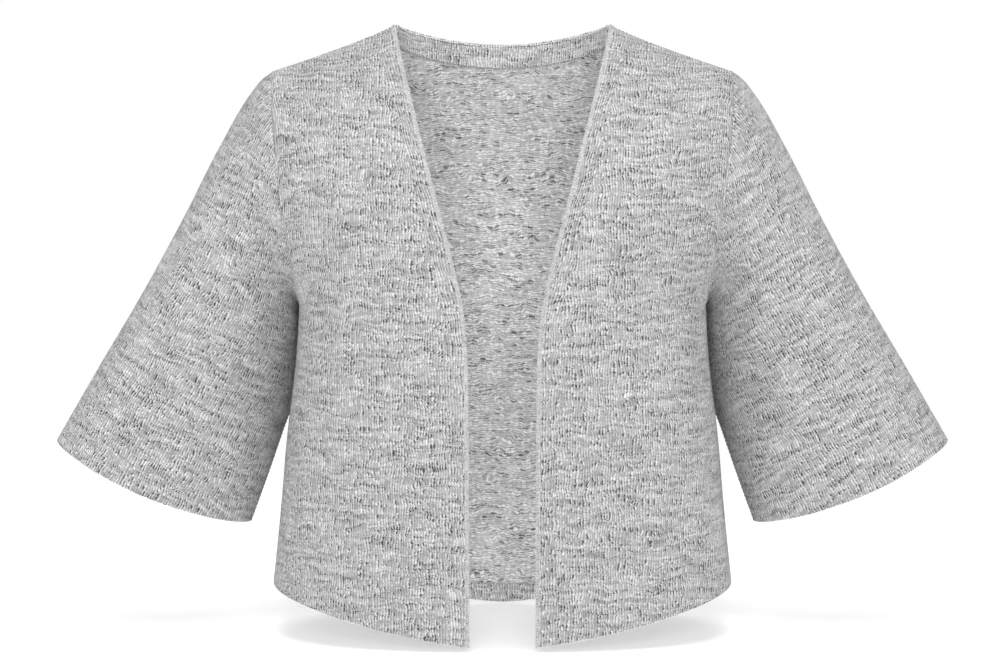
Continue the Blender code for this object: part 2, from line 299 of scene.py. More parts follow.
def front_edge(height):
    """Distance of the front edge from the middle: a straight slope that turns upright at V_BOTTOM."""
    def hinge(z):
        above = z - V_BOTTOM
        return (above + np.hypot(above, V_ROUND)) / 2
    return FRONT_GAP_HALF + (NECK_HALF - FRONT_GAP_HALF) * hinge(height) / hinge(0.0)


start = np.full(len(CLIMBS), neck_share)
for _ in range(EDGE_ROUNDS):
    edge_points = body_points("front", start, CLIMBS)
    half_widths = edge_points[:, 0] / start
    start = front_edge(edge_points[:, 2]) / half_widths
front_grid = body_points("front", columns(start, half_widths), CLIMBS[:, None])


# ---------------------------------------------------------------- the sleeves
# Each sleeve is one piece closed under the arm, set into the armhole, flaring to an elbow-length cuff whose
# edge is turned 17 mm to the inside.

Ring = namedtuple("Ring", "name along outer_x outer_z inner_x inner_z front_depth back_depth set_back")
RINGS = [
    Ring("armhole", 0.00, 0.1960, -0.0398, 0.1738, -0.2370, 0.0640, 0.0720, 0.0000),
    Ring("seam turn", 0.03, 0.2042, -0.0458, 0.1757, -0.2368, 0.0640, 0.0710, 0.0060),
    Ring("cap", 0.08, 0.2161, -0.0605, 0.1762, -0.2425, 0.0625, 0.0680, 0.0200),
    Ring("upper arm", 0.20, 0.2392, -0.0992, 0.1750, -0.2700, 0.0590, 0.0610, 0.0380),
    Ring("biceps", 0.40, 0.2732, -0.1643, 0.1783, -0.3128, 0.0555, 0.0565, 0.0440),
    Ring("above elbow", 0.60, 0.3090, -0.2288, 0.1913, -0.3514, 0.0530, 0.0535, 0.0270),
    Ring("elbow", 0.80, 0.3472, -0.2924, 0.2040, -0.3892, 0.0510, 0.0510, 0.0100),
    Ring("cuff", 1.00, 0.3850, -0.3568, 0.2178, -0.4278, 0.0500, 0.0500, 0.0000),
]
SLEEVE_OUTER, SLEEVE_INNER = 0.366, 0.194
CUFF_CURVE = 0.0075
SLEEVE_ROWS = 84

armhole_climbs = CLIMBS[CLIMBS >= 1 - 1e-9]
armhole_front = body_points("front", 1.0, armhole_climbs)
armhole_back = body_points("back", 1.0, armhole_climbs)
down_the_arm = np.radians(90 * (3 - armhole_climbs))
around = np.concatenate([down_the_arm[::-1], down_the_arm[1:-1]])
way = np.concatenate([-np.ones(len(armhole_climbs)), np.ones(len(armhole_climbs) - 2)])


def sleeve_points(along, angle, way):
    """Points on the sleeve, 0 to 1 along it, at an angle from its outer line, round the front or the back."""
    ring = {column: smooth([row.along for row in RINGS], [getattr(row, column) for row in RINGS], along)
            for column in Ring._fields[2:]}
    zero = np.zeros_like(ring["outer_x"] * angle)
    outer = np.stack([ring["outer_x"] + zero, zero, ring["outer_z"] + zero], axis=-1)
    inner = np.stack([ring["inner_x"] + zero, zero, ring["inner_z"] + zero], axis=-1)
    depth = np.where(way < 0, ring["front_depth"], ring["back_depth"])
    swell = np.sin(angle)
    place = (outer + inner) / 2 + (outer - inner) / 2 * np.cos(angle)[..., None]
    tucked = ring["set_back"] * ((1 - np.cos(angle)) / 2) ** 2
    place = place + np.stack([zero, way * depth * swell + tucked, zero], axis=-1)
    down = np.stack([outer[..., 2] - inner[..., 2], zero, inner[..., 0] - outer[..., 0]], axis=-1)
    down = down / np.linalg.norm(down, axis=-1)[..., None]
    return place + (CUFF_CURVE * along**3 * swell**2)[..., None] * down


lengths = SLEEVE_INNER + (SLEEVE_OUTER - SLEEVE_INNER) * (1 + np.cos(around)) / 2
last_plain = 1 - (TURNING + 2 * TURNING_STEP) / lengths
alongs = [share * last_plain for share in [0.0, 0.006, *np.linspace(0.012, 1.0, SLEEVE_ROWS)]]
alongs = np.array(alongs + [1 - depth / lengths for depth in TURNED_STEPS[::-1]])
sleeve_grid = sleeve_points(alongs, around[None, :], way[None, :])
sleeve_grid[0] = np.concatenate([armhole_front[::-1], armhole_back[1:-1]])


# ---------------------------------------------------------------- the cloth
# All five pieces are one cloth.  Where two are sewn, both follow the same surface, and the cloth sinks to the
# seam.  Soft hollows and rises cross it where a worn shrug pulls from the arms.

Piece = namedtuple("Piece", "name grid closed outwards")
PIECES = [
    Piece("back", back_grid, False, -1),
    Piece("front_left", front_grid, False, 1),
    Piece("front_right", front_grid * MIRROR, False, -1),
    Piece("sleeve_left", sleeve_grid, True, 1),
    Piece("sleeve_right", sleeve_grid * MIRROR, True, -1),
]


def vertex_normals(grid, closed, outwards):
    """Sums of the face normals round each point of a grid."""
    if closed:
        grid = np.concatenate([grid, grid[:, :1]], axis=1)
    normal = np.cross(grid[1:, 1:] - grid[:-1, :-1], grid[1:, :-1] - grid[:-1, 1:]) * outwards
    total = np.zeros_like(grid)
    for i in (0, 1):
        for j in (0, 1):
            total[i:grid.shape[0] - 1 + i, j:grid.shape[1] - 1 + j] += normal
    if closed:
        total[:, 0] += total[:, -1]
        total = total[:, :-1]
    return total


points = np.concatenate([piece.grid.reshape(-1, 3) for piece in PIECES])
_, shared = np.unique(np.round(points, 6) + 0.0, axis=0, return_inverse=True)
shared = shared.ravel()


def seam_normals(grids):
    """Outward normals of all the grids, the same wherever pieces meet."""
    sums = np.concatenate([vertex_normals(grid, piece.closed, piece.outwards).reshape(-1, 3)
                           for grid, piece in zip(grids, PIECES)])
    total = np.zeros((shared.max() + 1, 3))
    np.add.at(total, shared, sums)
    total = total[shared]
    total /= np.linalg.norm(total, axis=1)[:, None]
    split = np.cumsum([grid.shape[0] * grid.shape[1] for grid in grids])[:-1]
    return [part.reshape(grid.shape) for part, grid in zip(np.split(total, split), grids)]


FOLD_WRAP = 0.035               # a fold fades out over this depth towards the sides
# Folds are places on the front or back of the garment, x and z of both ends, with their width and rise
Fold = namedtuple("Fold", "side x1 z1 x2 z2 width rise")
FOLDS = [
    Fold("front", 0.176, -0.205, 0.118, -0.262, 0.011, -0.0020),
    Fold("front", 0.172, -0.236, 0.128, -0.318, 0.013, 0.0018),
    Fold("front", -0.174, -0.214, -0.112, -0.250, 0.012, -0.0018),
    Fold("front", -0.170, -0.246, -0.134, -0.336, 0.012, 0.0016),
    Fold("front", 0.150, -0.360, 0.138, -0.500, 0.016, -0.0022),
    Fold("front", -0.146, -0.350, -0.150, -0.500, 0.018, -0.0024),
    Fold("front", 0.268, -0.212, 0.346, -0.246, 0.009, 0.0022),
    Fold("front", 0.262, -0.226, 0.334, -0.262, 0.008, -0.0020),
    Fold("front", 0.205, -0.235, 0.262, -0.205, 0.012, -0.0020),
    Fold("front", 0.216, -0.300, 0.252, -0.398, 0.012, -0.0018),
    Fold("front", -0.262, -0.206, -0.330, -0.268, 0.011, 0.0018),
    Fold("front", -0.204, -0.240, -0.258, -0.214, 0.012, -0.0020),
    Fold("front", -0.222, -0.310, -0.262, -0.400, 0.013, -0.0018),
    Fold("back", 0.170, -0.200, 0.104, -0.268, 0.013, -0.0024),
    Fold("back", -0.170, -0.208, -0.096, -0.258, 0.012, -0.0022),
    Fold("back", 0.120, -0.330, 0.112, -0.505, 0.018, -0.0026),
    Fold("back", -0.112, -0.300, -0.124, -0.505, 0.017, -0.0024),
    Fold("back", 0.012, -0.340, -0.004, -0.510, 0.020, 0.0020),
    Fold("back", 0.208, -0.240, 0.268, -0.212, 0.012, -0.0022),
    Fold("back", -0.206, -0.236, -0.262, -0.200, 0.012, -0.0020),
    Fold("back", 0.262, -0.232, 0.330, -0.268, 0.010, 0.0020),
    Fold("back", -0.252, -0.238, -0.326, -0.276, 0.010, 0.0018),
]


def rise_of_folds(points):
    """How far the folds lift the cloth at each point, along its normal."""
    rise = np.zeros(points.shape[:-1])
    for fold in FOLDS:
        ends = np.array([[fold.x1, fold.z1], [fold.x2, fold.z2]])
        line = ends[1] - ends[0]
        length = np.linalg.norm(line)
        offset = points[..., [0, 2]] - ends[0]
        along = offset @ line / length**2
        across = (offset[..., 0] * line[1] - offset[..., 1] * line[0]) / length
        fade = ease(1.25 * along + 0.25) * ease(1.25 * (1 - along) + 0.25)
        facing = ease((-points[..., 1] if fold.side == "front" else points[..., 1]) / FOLD_WRAP)
        rise += fold.rise * fade * facing * np.exp(-(across / fold.width) ** 2)
    return rise


grids = [piece.grid for piece in PIECES]
flat_normals = seam_normals(grids)
grids = [grid + rise_of_folds(grid)[..., None] * normals for grid, normals in zip(grids, flat_normals)]
all_normals = seam_normals(grids)


def outward_ways(grid, normals, closed):
    """At each point of a grid's outline, the way out of the piece in the plane of the cloth."""
    rows, count = grid.shape[:2]
    ways = np.zeros_like(grid)
    for i, inside in ((0, 1), (rows - 1, rows - 2)):
        along = np.roll(grid[i], -1, 0) - np.roll(grid[i], 1, 0)
        if not closed:
            along[0], along[-1] = grid[i, 1] - grid[i, 0], grid[i, -1] - grid[i, -2]
        out = np.cross(normals[i], along)
        out /= np.linalg.norm(out, axis=1)[:, None]
        out *= -np.sign(np.sum(out * (grid[inside] - grid[i]), axis=1))[:, None]
        ways[i] += out
    if not closed:
        for j, inside in ((0, 1), (count - 1, count - 2)):
            along = np.gradient(grid[:, j], axis=0)
            out = np.cross(normals[:, j], along)
            out /= np.linalg.norm(out, axis=1)[:, None]
            out *= -np.sign(np.sum(out * (grid[:, inside] - grid[:, j]), axis=1))[:, None]
            ways[:, j] += out
    return ways


RIM_ROUND, SEWN_ROUND = 0.0009, 0.0003      # how far a folded edge and a sewn one bulge
RIM_STEPS = 5
RIM_STRETCH = 1.2               # most that the knit's pattern may stretch round a rim


def map_at(left, right, r, c):
    """A map's values at points of the grid: the left sides of its faces, then the right side of the last."""
    known = np.minimum(c, left.shape[1] - 1)
    return np.where((c < left.shape[1])[:, None], left[r, known], right[r, known])


def knit_piece(name, grid, normals, closed, maps, layers, sunk, materials):
    """A wall of knit: an outside, an inside and a rounded rim round its outline.

    maps holds, for each UV map, the values at the left and the right side of every column of faces.  layers
    is how many thicknesses of cloth there are at each point, and sunk says where the outline is sewn.
    """
    rows, count = grid.shape[:2]
    ways = outward_ways(grid, normals, closed)
    thick = CLOTH * layers[..., None]
    rim_round = np.where(sunk, SEWN_ROUND, RIM_ROUND)[..., None]
    pull = np.where(sunk, SEAM_GAP / 2, 0.0)[..., None] + rim_round
    outer = grid - ways * pull - np.where(sunk, SEAM_SINK, 0.0)[..., None] * normals
    inner = grid - ways * pull - thick * normals
    j = np.arange(count if closed else count - 1)
    k = (j + 1) % count
    i = np.arange(rows - 1)[:, None]
    quads = np.stack([i * count + j, i * count + k, (i + 1) * count + k, (i + 1) * count + j], axis=-1)
    quads = quads.reshape(-1, 4)
    verts = [outer.reshape(-1, 3), inner.reshape(-1, 3)]
    faces = [quads, quads[:, ::-1] + rows * count]
    uvs = {}
    for key, (left, right) in maps.items():
        corners = np.stack([left[:-1], right[:-1], right[1:], left[1:]], axis=2).reshape(-1, 4, 2)
        uvs[key] = [corners, corners[:, ::-1]]
    # The outline as loops of (row, column)
    if closed:
        loops = [[(0, c) for c in range(count)], [(rows - 1, c) for c in range(count)]]
    else:
        loops = [[(0, c) for c in range(count - 1)] + [(r, count - 1) for r in range(rows - 1)]
                 + [(rows - 1, c) for c in range(count - 1, 0, -1)]
                 + [(r, 0) for r in range(rows - 1, 0, -1)]]
    total = 2 * rows * count
    for loop in loops:
        r, c = np.array(loop).T
        n = len(loop)
        middle = (outer[r, c] + inner[r, c]) / 2
        half = (outer[r, c] - inner[r, c]) / 2
        arcs = []
        for angle in np.radians(180 * np.arange(1, RIM_STEPS) / RIM_STEPS):
            arcs.append(middle + half * math.cos(angle) + ways[r, c] * rim_round[r, c] * math.sin(angle))
        verts += arcs
        ids = [r * count + c] + [total + a * n + np.arange(n) for a in range(len(arcs))]
        ids += [rows * count + r * count + c]
        total += n * len(arcs)
        nxt = (np.arange(n) + 1) % n
        # The knit runs on round the rim, at the scale that it has beside it
        inside = (np.clip(r, 1, rows - 2), c if closed else np.clip(c, 1, count - 2))
        inward = np.linalg.norm(grid[r, c] - grid[inside], axis=1)[:, None]
        for step, (a, b) in enumerate(zip(ids, ids[1:])):
            faces.append(np.stack([a, b, b[nxt], a[nxt]], axis=-1))
            for key, (left, right) in maps.items():
                value = map_at(left, right, r, c)
                run = (value - map_at(left, right, *inside)) / np.maximum(inward, 1e-6)
                run = np.clip(run, -RIM_STRETCH, RIM_STRETCH) * math.pi * rim_round[r, c]
                near = value + run * step / RIM_STEPS
                far = value + run * (step + 1) / RIM_STEPS
                uvs[key].append(np.stack([near, far, far[nxt], near[nxt]], axis=1))
    verts = np.concatenate(verts)
    faces = np.concatenate(faces)
    mesh = bpy.data.meshes.new(name)
    mesh.from_pydata(verts, [], faces.tolist())
    # The outside shows the first material, the inside the second, a turning the third, and the rims the last
    turned = layers.reshape(-1)[quads].min(axis=1) > 1
    rims = len(faces) - 2 * len(quads)
    kinds = np.concatenate([0 * turned, 1 + turned, 3 + np.zeros(rims)])
    mesh.polygons.foreach_set("material_index", kinds.astype(np.int32))
    for key, parts in uvs.items():
        layer = mesh.uv_layers.new(name=key)
        layer.data.foreach_set("uv", np.concatenate(parts).reshape(-1).astype(np.float32))
    for material in materials:
        mesh.materials.append(material)
    mesh.shade_smooth()
    mesh.update()
    piece = bpy.data.objects.new(name, mesh)
    bpy.context.scene.collection.objects.link(piece)
    # Turn every face outwards, which the order of a mirrored grid doesn't
    shape = bmesh.new()
    shape.from_mesh(mesh)
    bmesh.ops.recalc_face_normals(shape, faces=shape.faces)
    shape.to_mesh(mesh)
    shape.free()
    return piece


# The knit itself: a 2.3 mm wale of V stitches, in a yarn that goes from pale to charcoal along its length
WALE, COURSE = 0.0023, 0.0017
LEG_LEAN = 0.9                  # how many courses a leg climbs across its half wale
# GREY is the cloth's own tone. The lighter greys of the inside, the turnings and the rims are painted light:
# they stand in for the light inside the shrug and a highlight on its folded edges.
GREY, INSIDE_GREY_PAINTED_LIGHTER, TURNED_GREY_PAINTED_LIGHTER, RIM_GREY_PAINTED_HIGHLIGHT = 0.316, 0.570, 0.46, 0.50
# Flecks, streaks and clouds: size along and up the cloth, detail and shift, and the most that each adds
TONES = (
    ((0.0060, 0.0016, 1.0, 3.0), 0.24),
    ((0.0320, 0.0040, 2.5, 11.0), 0.86),
    ((0.0600, 0.0300, 2.0, 23.0), 0.12),
)
PALE, DARK = (0.05, 1.05), (0.35, 1.45)     # least and most that a pale or a dark dash changes the tone
DARK_FROM = 0.80                # how dark the yarn has to be before a dash shows dark
STAGGER = 0.45                  # how far dashes of neighbouring wales are out of line
PURL_ROWS, PURL_FORCE = 0.78, 0.72          # rows of purl for each course, and their contrast


def wire(tree, kind, *values, **settings):
    """A node with its inputs set in order, or linked where a value is a socket, and its first output."""
    node = tree.nodes.new(kind)
    for key, value in settings.items():
        setattr(node, key, value)
    for socket, value in zip([s for s in node.inputs if s.enabled], values):
        if isinstance(value, bpy.types.NodeSocket):
            tree.links.new(value, socket)
        elif value is not None:
            socket.default_value = value
    return node.outputs[0]


def knit_cloth(name, grey, purl=False, edged=False):
    """Marl knit, which reads the piece's "knit" map, in metres along the courses and up the wales."""
    material = bpy.data.materials.new(name)
    material.use_nodes = True
    tree = material.node_tree
    shader = tree.nodes["Principled BSDF"]

    def sums(operation, a, b=0.0, c=0.0):
        return wire(tree, "ShaderNodeMath", a, b, c, operation=operation)

    def between(a, low, high):
        """A share from 0 to 1, drawn out over low to high."""
        return sums("MULTIPLY_ADD", a, high - low, low)

    def noise(vector, scale_u, scale_v, detail, shift):
        sizes = (1 / scale_u, 1 / scale_v, 1.0)
        sized = wire(tree, "ShaderNodeVectorMath", vector, sizes, operation="MULTIPLY")
        moved = wire(tree, "ShaderNodeVectorMath", sized, (shift, shift * 1.7, 0.0), operation="ADD")
        node = tree.nodes.new("ShaderNodeTexNoise")
        node.noise_dimensions = "2D"
        node.inputs["Scale"].default_value = 1.0
        node.inputs["Detail"].default_value = detail
        node.inputs["Roughness"].default_value = 0.6
        tree.links.new(moved, node.inputs["Vector"])
        return node.outputs[0]

    def chance(column, row):
        cell = wire(tree, "ShaderNodeCombineXYZ", column, row, 0.0)
        return wire(tree, "ShaderNodeTexWhiteNoise", cell, noise_dimensions="2D")

    def hump(value, power):
        """1 in the middle of every unit, falling to 0 at its ends."""
        ends = sums("ABSOLUTE", between(sums("FRACT", value), -1.0, 1.0))
        return sums("SUBTRACT", 1.0, sums("POWER", ends, power))

    def dashes(across, along, shift, lean, stagger):
        """Leaning dashes in lines a unit apart, nearly level: their shape, and a chance for each."""
        across = sums("ADD", sums("ADD", across, shift), sums("MULTIPLY", lean, sums("FRACT", along)))
        line = sums("FLOOR", across)
        along = sums("ADD", along, sums("MULTIPLY", chance(line, 0.5 + shift), stagger))
        body = sums("MULTIPLY", hump(across, 2.2), hump(along, 5.0))
        return body, chance(line, sums("FLOOR", along))

    place = wire(tree, "ShaderNodeUVMap", uv_map="knit")
    if edged:
        # Within the turning the wales run along the edge
        by_edge = wire(tree, "ShaderNodeUVMap", uv_map="edge")
        from_edge = wire(tree, "ShaderNodeSeparateXYZ", by_edge)
        ragged = between(noise(by_edge, 0.004, 0.004, 1.0, 5.0), -0.002, 0.002)
        band = sums("LESS_THAN", sums("ADD", from_edge, ragged), TURNING)
        # A mix of vectors takes them in sockets 4 and 5, and gives them in 1
        choice = tree.nodes.new("ShaderNodeMix")
        choice.data_type = "VECTOR"
        tree.links.new(band, choice.inputs["Factor"])
        tree.links.new(place, choice.inputs[4])
        tree.links.new(by_edge, choice.inputs[5])
        place = choice.outputs[1]
    split = tree.nodes.new("ShaderNodeSeparateXYZ")
    tree.links.new(place, split.inputs[0])
    u = sums("ADD", split.outputs[0], between(noise(place, 0.022, 0.026, 1.0, 1.0), -0.0022, 0.0022))
    v = sums("ADD", split.outputs[1], between(noise(place, 0.030, 0.020, 2.0, 7.0), -0.0060, 0.0060))
    drawn = wire(tree, "ShaderNodeCombineXYZ", u, v, 0.0)
    wales = sums("MULTIPLY", u, 1 / WALE)
    courses = sums("MULTIPLY", v, 1 / COURSE)

    # Pale and dark stretches of the yarn lie along the courses, and gather into longer streaks
    force = PURL_FORCE if purl else 1.0
    tone = 0.0
    for (size_u, size_v, detail, shift), most in TONES:
        patches = noise(drawn, size_u, size_v, detail, shift)
        tone = sums("ADD", tone, between(patches, -most * force, most * force))
    if purl:
        # Its loops lie in wavy rows along the courses
        wave = between(noise(place, 0.0060, 0.014, 1.0, 43.0), -0.8, 0.8)
        rows = sums("MULTIPLY", sums("ADD", courses, wave), PURL_ROWS)
        pale, pale_chance = dashes(rows, sums("MULTIPLY", wales, 1 / 2.0), 0.0, 0.0, 7.0)
        dark, dark_chance = dashes(rows, sums("MULTIPLY", wales, 1 / 2.6), 0.5, 0.0, 7.0)
        height = hump(rows, 1.6)
    else:
        # Its legs lie in V's up the wales, with hollows between them
        lean = between(noise(place, 0.014, 0.010, 1.0, 31.0), -1.2, 1.2)
        pale, pale_chance = dashes(wales, sums("MULTIPLY", courses, 1 / 1.9), 0.0, lean, STAGGER)
        dark, dark_chance = dashes(wales, sums("MULTIPLY", courses, 1 / 1.9), 0.5, lean, STAGGER)
        halves = sums("MULTIPLY", wales, 2.0)
        side = sums("FLOORED_MODULO", sums("FLOOR", halves), 2.0)
        from_centre = sums("SUBTRACT", sums("FRACT", halves), 0.5)
        climb = sums("MULTIPLY", from_centre, between(side, -LEG_LEAN, LEG_LEAN))
        loops = between(hump(sums("ADD", courses, climb), 3.0), 0.5, 1.0)
        height = sums("MULTIPLY", hump(halves, 2.0), loops)
    lit = sums("MULTIPLY", pale, between(pale_chance, PALE[0] * force, PALE[1] * force))
    deep = sums("SUBTRACT", sums("MULTIPLY_ADD", dark_chance, 1.5, -DARK_FROM), tone)
    deep = sums("MINIMUM", sums("MAXIMUM", deep, 0.0), 1.0)
    deep = sums("MULTIPLY", dark, between(deep, DARK[0] * force, DARK[1] * force))
    bright = sums("SUBTRACT", sums("ADD", sums("MULTIPLY_ADD", tone, 0.6, 1.0), lit), deep)
    shade = sums("MINIMUM", sums("MAXIMUM", sums("MULTIPLY", bright, grey), 0.05), 0.93)
    tree.links.new(wire(tree, "ShaderNodeCombineColor", shade, shade, shade), shader.inputs["Base Color"])

    bump = tree.nodes.new("ShaderNodeBump")
    bump.inputs["Strength"].default_value = 0.5
    bump.inputs["Distance"].default_value = 0.0005
    tree.links.new(sums("MULTIPLY_ADD", pale_chance, 0.3, height), bump.inputs["Height"])
    tree.links.new(bump.outputs[0], shader.inputs["Normal"])
    tree.links.new(between(height, 0.94, 0.86), shader.inputs["Roughness"])
    shader.inputs["Specular IOR Level"].default_value = 0.25
    shader.inputs["Sheen Weight"].default_value = 0.10
    shader.inputs["Sheen Roughness"].default_value = 0.5
    return material


knit_side = knit_cloth("marl_knit_side", GREY)
edged_knit_side = knit_cloth("marl_knit_side_edged", GREY, edged=True)
# The purl side is painted lighter than the outside. A little of that is the purl side's own tone, and the
# rest is painted light standing in for the light inside the shrug.
purl_painted_lighter = knit_cloth("marl_purl_painted_lighter", INSIDE_GREY_PAINTED_LIGHTER, purl=True)
# The turnings show the knit side inside the shrug, painted lighter than the outside: painted light.
turned_painted_lighter = knit_cloth("marl_turned_painted_lighter", TURNED_GREY_PAINTED_LIGHTER)
# The facing shows the knit side inside the back neck, painted as light as the inside: painted light.
facing_painted_lighter = knit_cloth("marl_facing_painted_lighter", INSIDE_GREY_PAINTED_LIGHTER)
# Every rim is painted lighter than the cloth: a painted highlight along the folded and sewn edges.
rim_painted_highlight = knit_cloth("marl_fold_painted_highlight", RIM_GREY_PAINTED_HIGHLIGHT)


def running(grid, axis, parts):
    """Distances run along the rows or columns of a grid, counting only some of x, y and z."""
    steps = np.linalg.norm(np.diff(grid[..., parts], axis=axis), axis=-1)
    zero = np.zeros_like(np.take(steps, [0], axis=axis))
    return np.concatenate([zero, np.cumsum(steps, axis=axis)], axis=axis)


def body_map(grid, middle):
    """Distances in metres across a body panel from the middle line, and up it from the underarm."""
    across = running(grid, 1, [0, 1])
    across = across - across[:, [middle]] + np.abs(grid[:, [middle], 0])
    up = running(grid, 0, [1, 2])
    return np.stack([across, up - up[level_row]], axis=-1)


level_row = int(np.argmin(np.abs(CLIMBS - 1)))
# The sleeve's wales run along its outer line
SLEEVE_LINE = np.array([RINGS[-1].outer_x - RINGS[2].outer_x, 0.0, RINGS[-1].outer_z - RINGS[2].outer_z])
SLEEVE_LINE = SLEEVE_LINE / np.linalg.norm(SLEEVE_LINE)
CAP_ROWS = 20                   # rows of a sleeve from the armhole seam to the end of its cap
HEM_TURNED, EDGE_TURNED, CUFF_TURNED = 5, 6, 5      # rows or columns of points that are two layers thick
# Where in the cloth each piece is cut: across the wales and along them, in metres
CUT_AT = {"back": (0.0, 0.0), "front_left": (1.0, 0.3), "front_right": (2.0, -0.4),
          "sleeve_left": (3.0, 0.7), "sleeve_right": (4.0, -0.8)}
for piece, grid, normals in zip(PIECES, grids, all_normals):
    rows, count = grid.shape[:2]
    layers = np.ones((rows, count))
    sunk = np.zeros((rows, count), bool)
    if piece.closed:
        layers[-CUFF_TURNED:] = 2
        sunk[0] = True
        ring = np.concatenate([grid, grid[:, :1]], axis=1)
        under = len(armhole_climbs) - 1
        arm = SLEEVE_LINE * [np.sign(grid[0, 0, 0]), 1.0, 1.0]
        along = ring @ arm
        steps = np.diff(ring, axis=1)
        steps = np.linalg.norm(steps - (steps @ arm)[..., None] * arm, axis=-1)
        girth = np.concatenate([np.zeros((rows, 1)), np.cumsum(steps, axis=1)], axis=1)
        # Below the cap it widens evenly, and the wales of that part run on up into the cap
        row = np.arange(rows)
        widening = np.polyfit(row[CAP_ROWS:], girth[CAP_ROWS:, -1], 1)
        girth = girth / girth[:, -1:] * np.polyval(widening, row)[:, None]
        # At the cap the outer line comes in, and the wales start as much further round
        outwards = np.array([-arm[2], 0.0, abs(arm[0])]) * [np.sign(arm[0]), 1.0, 1.0]
        share = girth / girth[:, -1:]
        comes_in = ring[[-1], 0] @ outwards - ring[:, 0] @ outwards
        shift = comes_in[:, None] * np.clip(4 * np.minimum(share, 1 - share), 0.0, 1.0)
        front, rear = girth + shift, girth - girth[:, -1:] - shift
        left = np.concatenate([front[:, :under], rear[:, under:-1]], axis=1)
        right = np.concatenate([front[:, 1:under + 1], rear[:, under + 1:]], axis=1)
        maps = {"knit": (np.stack([left, along[:, :-1]], axis=-1),
                         np.stack([right, along[:, 1:]], axis=-1))}
        materials = [knit_side, purl_painted_lighter, turned_painted_lighter, rim_painted_highlight]
    else:
        layers[:HEM_TURNED] = 2
        sunk[:, -1] = True
        if piece.name == "back":
            sunk[:, 0] = True
            outside = np.abs(grid[-1, :, 0]) > NECK_HALF - 1e-6
            sunk[-1] = outside
            values = body_map(grid, count // 2)
            maps = {"knit": (values[:, :-1], values[:, 1:])}
            materials = [knit_side, purl_painted_lighter, turned_painted_lighter, rim_painted_highlight]
        else:
            layers[:, :EDGE_TURNED] = 2
            sunk[-1, :] = True
            values = body_map(grid, 0)
            down_edge = running(grid, 0, [0, 1, 2])[:, [0]] + 0 * grid[..., 0]
            edge = np.stack([running(grid, 1, [0, 1, 2]), down_edge + CUT_AT[piece.name][1]], axis=-1)
            maps = {"knit": (values[:, :-1], values[:, 1:]), "edge": (edge[:, :-1], edge[:, 1:])}
            materials = [edged_knit_side, purl_painted_lighter, turned_painted_lighter, rim_painted_highlight]
    # Every piece is cut from its own place in the cloth, so no two show the same streaks
    cut_at = np.array(CUT_AT[piece.name])
    maps["knit"] = tuple(side + cut_at for side in maps["knit"])
    made = knit_piece(piece.name + "_cloth", grid, normals, piece.closed, maps, layers, sunk, materials)
    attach(made, "root")
    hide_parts(piece.name)


# ---------------------------------------------------------------- the back neck facing
# A strip of the same knit lies inside the back neckline from shoulder seam to shoulder seam, its smooth side
# showing, and covers the raw edge of the neck.

# The climb of its lower edge in the middle, and how much lower that is at the sides
FACING_MIDDLE, FACING_SLOPE = 2.88, 0.11
facing_steps = np.concatenate([[0.0, 0.06], np.linspace(0.12, 0.94, 8), [0.985, 1.0]])
back_grid, back_normals = grids[0], all_normals[0]
middle = back_grid.shape[1] // 2
neck = slice(middle - NECK_COLUMNS - 1, middle + NECK_COLUMNS + 2)
q = np.abs(np.concatenate([-back_shares[:0:-1], back_shares]))[neck]
lower_climbs = FACING_MIDDLE - FACING_SLOPE * q
facing_climbs = lower_climbs + (3 - FACING_MIDDLE + FACING_SLOPE * q) * facing_steps[:, None]


def at_climbs(values):
    """A back panel's values at the facing's own heights, between its rows."""
    values = values[:, neck]
    lines = []
    for j in range(len(q)):
        line = [np.interp(facing_climbs[:, j], CLIMBS, values[:, j, k]) for k in range(3)]
        lines.append(np.stack(line, axis=-1))
    return np.stack(lines, axis=1)


facing_grid, facing_normals = at_climbs(back_grid), at_climbs(back_normals)
facing_normals /= np.linalg.norm(facing_normals, axis=-1)[..., None]
facing_grid = facing_grid - (CLOTH + SEAM_GAP) * facing_normals
depth_below = running(facing_grid, 0, [0, 1, 2])
across = running(facing_grid, 1, [0, 1, 2])
across = across - across[:, [NECK_COLUMNS + 1]]
facing_map = np.stack([across[[-1]] + 0 * across, depth_below], axis=-1)
facing = knit_piece("back_neck_facing_cloth", facing_grid, facing_normals, False,
                    {"knit": (facing_map[:, :-1], facing_map[:, 1:])}, np.ones(facing_grid.shape[:2]),
                    np.zeros(facing_grid.shape[:2], bool), [purl_painted_lighter, facing_painted_lighter, facing_painted_lighter, rim_painted_highlight])
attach(facing, "root")
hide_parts("back_neck_facing")


# ---------------------------------------------------------------- the stitches
# The pieces are linked loop to loop with a darker yarn, the turnings are caught down with small stitches, and
# a chain of loops finishes the front edges; the chain's pale yarn is also a painted highlight along those
# edges.

YARN_PATCHES = 420.0            # patches of light and dark in a metre of yarn


def yarn(name, grey, spread):
    """Spun yarn that varies along its length, on the piece's own coordinates."""
    material = bpy.data.materials.new(name)
    material.use_nodes = True
    tree = material.node_tree
    shader = tree.nodes["Principled BSDF"]
    place = tree.nodes.new("ShaderNodeTexCoord")
    patches = wire(tree, "ShaderNodeTexNoise", place.outputs["Object"], noise_dimensions="3D")
    source = patches.node
    source.inputs["Scale"].default_value = YARN_PATCHES
    source.inputs["Detail"].default_value = 2.0
    shade = wire(tree, "ShaderNodeMath", patches, 2 * spread * grey, grey - spread * grey,
                 operation="MULTIPLY_ADD")
    tree.links.new(wire(tree, "ShaderNodeCombineColor", shade, shade, shade), shader.inputs["Base Color"])
    shader.inputs["Roughness"].default_value = 0.9
    shader.inputs["Specular IOR Level"].default_value = 0.2
    shader.inputs["Sheen Weight"].default_value = 0.1
    return material


dark_yarn = yarn("linking_yarn", 0.20, 0.5)
# The chain yarn is paler than the cloth: a painted highlight along the front edges.
pale_yarn_painted_highlight = yarn("edge_chain_yarn_painted_highlight", 0.46, 0.6)
grey_yarn = yarn("hem_yarn", 0.34, 0.6)


